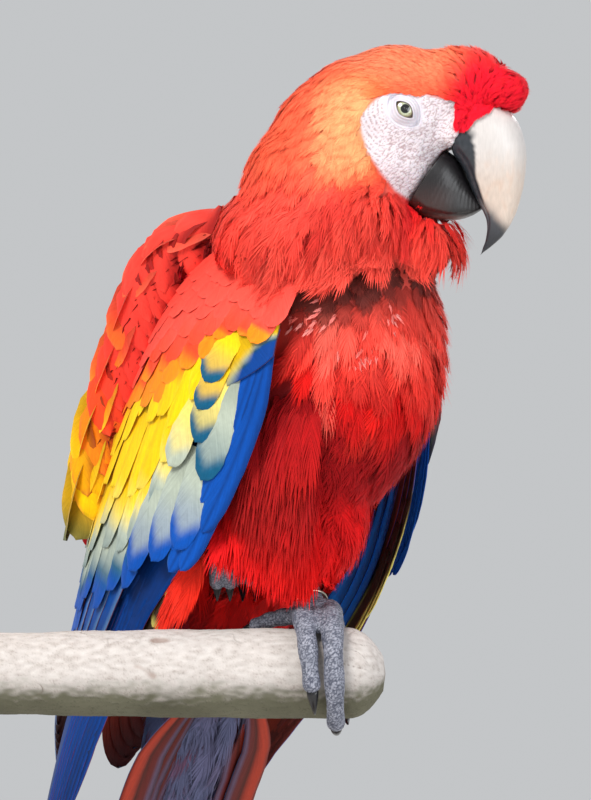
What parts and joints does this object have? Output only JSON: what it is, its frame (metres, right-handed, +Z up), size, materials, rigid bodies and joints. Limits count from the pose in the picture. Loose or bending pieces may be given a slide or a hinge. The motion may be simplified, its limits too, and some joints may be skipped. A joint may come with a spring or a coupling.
{
  "type": "scarlet macaw display model",
  "caption": "Life-size scarlet macaw gripping a cut branch with one foot, the other drawn up, on a plain display stand.",
  "frame": {"origin": "centre of the underside of the display stand's base", "axes": "+Z up, along the longest extent; +X along the branch towards its free end, roughly the way the bird's head points; the bird's breast and the branch's near side face -Y"},
  "size_m": [0.3446, 0.3623, 0.7789],
  "materials": {
    "red_plumage": "matt red feathers",
    "wing_plumage": "yellow and red feathers, faint sheen",
    "blue_plumage": "blue flight feathers, faint sheen",
    "tail_plumage": "long red and blue feathers",
    "bill_horn": "ivory horn, satin",
    "dark_horn": "black horn, satin",
    "eye": "glossy pale yellow-green eye",
    "foot_skin": "grey scaly skin, matt",
    "steel": "satin steel",
    "bark": "dry pale bark, matt",
    "stand_wood": "dark stained wood, satin"
  },
  "bodies": {
    "root": {"bill_lower": "dark_horn", "bill_upper": "bill_horn", "branch": "bark", "claw_l_hind": "dark_horn", "claw_l_inner": "dark_horn", "claw_l_middle": "dark_horn", "claw_l_outer": "dark_horn", "claw_r_hind": "dark_horn", "claw_r_inner": "dark_horn", "claw_r_middle": "dark_horn", "claw_r_outer": "dark_horn", "eye_l": "eye", "eye_r": "eye", "foot_l": "foot_skin", "foot_r": "foot_skin", "head": "red_plumage", "leg_band": "steel", "neck": "red_plumage", "scapulars_l": "red_plumage", "scapulars_r": "red_plumage", "stand_base": "stand_wood", "stand_collar": "steel", "stand_ferrule": "steel", "stand_rod": "steel", "tail": "tail_plumage", "thigh_l": "red_plumage", "thigh_r": "red_plumage", "trunk": "red_plumage", "wing_l_coverts": "wing_plumage", "wing_l_primaries": "blue_plumage", "wing_l_secondaries": "blue_plumage", "wing_r_coverts": "wing_plumage", "wing_r_primaries": "blue_plumage", "wing_r_secondaries": "blue_plumage"}
  },
  "joints": []
}
